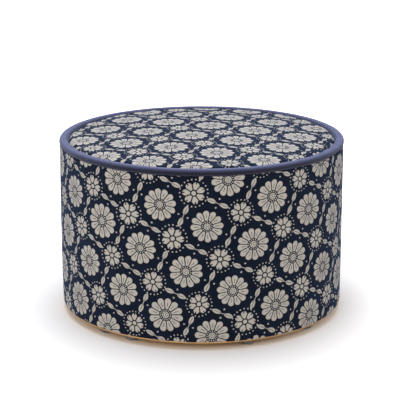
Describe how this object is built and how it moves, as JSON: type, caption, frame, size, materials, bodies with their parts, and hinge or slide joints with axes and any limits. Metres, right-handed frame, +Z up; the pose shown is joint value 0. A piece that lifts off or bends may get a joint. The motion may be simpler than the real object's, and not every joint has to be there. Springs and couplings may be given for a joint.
{
  "type": "drum footstool",
  "caption": "Round upholstered drum footstool with a piped top edge, a crowned padded seat, a printed cloth cover over a timber frame, and low glides under a thin plywood base.",
  "frame": {"origin": "on the floor under the middle of the stool", "axes": "+Z up; -Y is the front as pictured; the cover's sewn joint is at the back, +Y"},
  "size_m": [0.451, 0.451, 0.287],
  "materials": {
    "print_fabric": "woven cotton-linen, navy ground with a pale printed pattern",
    "piping_fabric": "plain blue woven cloth cut on the bias",
    "cord": "soft twisted cotton",
    "wadding": "loose polyester wadding",
    "foam": "open-cell foam",
    "plywood": "plain birch plywood",
    "timber": "planed softwood",
    "hardboard": "bent hardboard",
    "steel": "zinc-plated steel",
    "glide_plastic": "moulded plastic"
  },
  "bodies": {
    "root": {"base_board": "plywood", "bottom_plate": "plywood", "cover_side": "print_fabric", "cover_staples": "steel", "cover_top": "print_fabric", "deck_board": "plywood", "frame_screws_base": "steel", "frame_screws_deck": "steel", "glide_1": "glide_plastic", "glide_2": "glide_plastic", "glide_3": "glide_plastic", "glide_4": "glide_plastic", "glide_5": "glide_plastic", "glide_6": "glide_plastic", "glide_7": "glide_plastic", "glide_8": "glide_plastic", "glide_nails": "steel", "piping_cord": "cord", "piping_sleeve": "piping_fabric", "plate_screws": "steel", "seat_foam": "foam", "seat_wadding": "wadding", "side_skin": "hardboard", "side_wadding": "wadding", "skin_staples": "steel", "upright_1": "timber", "upright_2": "timber", "upright_3": "timber", "upright_4": "timber", "upright_5": "timber", "upright_6": "timber"}
  },
  "joints": []
}
